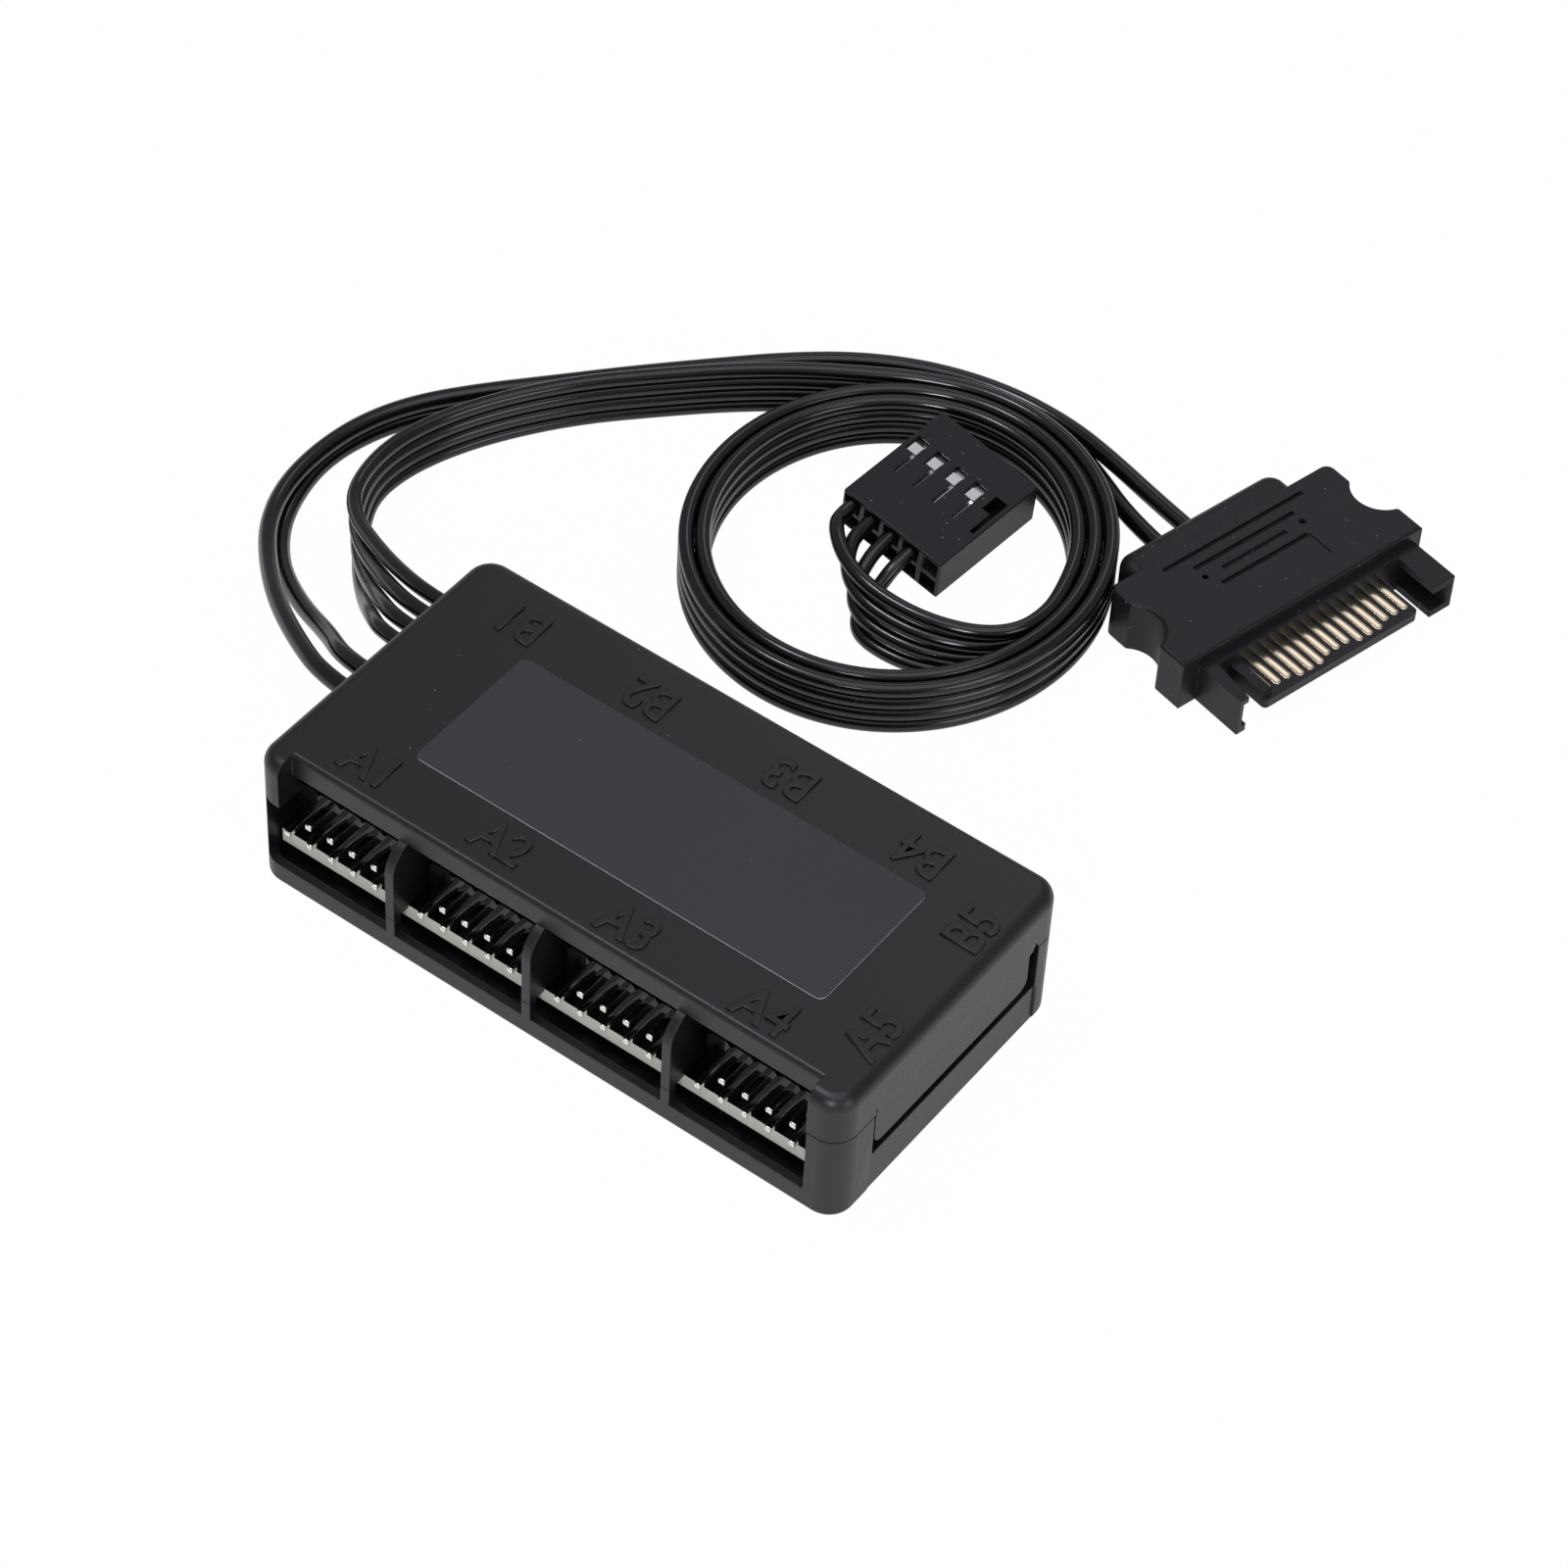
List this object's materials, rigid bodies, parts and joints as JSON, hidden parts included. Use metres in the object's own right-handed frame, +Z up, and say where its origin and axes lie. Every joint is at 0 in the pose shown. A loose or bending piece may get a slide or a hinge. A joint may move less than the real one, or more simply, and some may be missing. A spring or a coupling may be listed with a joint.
{
  "type": "internal usb hub",
  "caption": "Flat black hub case with rows of pin headers on its long sides, a coiled wire lead to a crimp plug and a short wire pair to a drive-power plug.",
  "frame": {"origin": "middle of the case's underside", "axes": "+X along the case towards its closed end, +Z up through the lid, -Y out of the front ports"},
  "size_m": [0.0971, 0.101, 0.0157],
  "materials": {
    "case_plastic": "moulded, fine matte grain",
    "label_film": "matte film",
    "solder_mask": "glossy solder mask",
    "header_plastic": "moulded",
    "contact_metal": "thin gold plate",
    "chip_epoxy": "moulded epoxy",
    "can_metal": "drawn can",
    "ceramic": "fired ceramic",
    "wire_pvc": "extruded, smooth",
    "plug_plastic": "moulded"
  },
  "bodies": {
    "root": {"case_base": "case_plastic", "case_lid": "case_plastic", "top_label": "label_film", "circuit_board": "solder_mask", "port_a1_body": "header_plastic", "port_a1_pins": "contact_metal", "port_a2_body": "header_plastic", "port_a2_pins": "contact_metal", "port_a3_body": "header_plastic", "port_a3_pins": "contact_metal", "port_a4_body": "header_plastic", "port_a4_pins": "contact_metal", "port_b1_body": "header_plastic", "port_b1_pins": "contact_metal", "port_b2_body": "header_plastic", "port_b2_pins": "contact_metal", "port_b3_body": "header_plastic", "port_b3_pins": "contact_metal", "port_b4_body": "header_plastic", "port_b4_pins": "contact_metal", "hub_chip_a": "chip_epoxy", "hub_chip_b": "chip_epoxy", "crystal": "can_metal", "bulk_capacitor": "can_metal", "ceramic_capacitors": "ceramic", "chip_resistors": "chip_epoxy", "usb_lead_1": "wire_pvc", "usb_lead_2": "wire_pvc", "usb_lead_3": "wire_pvc", "usb_lead_4": "wire_pvc", "usb_tail_1": "wire_pvc", "usb_tail_2": "wire_pvc", "usb_tail_3": "wire_pvc", "usb_tail_4": "wire_pvc", "usb_coil": "wire_pvc", "power_wire_1": "wire_pvc", "power_wire_2": "wire_pvc", "usb_plug_housing": "plug_plastic", "usb_plug_contacts": "contact_metal", "power_plug_housing": "plug_plastic", "power_plug_contacts": "contact_metal"}
  },
  "joints": []
}
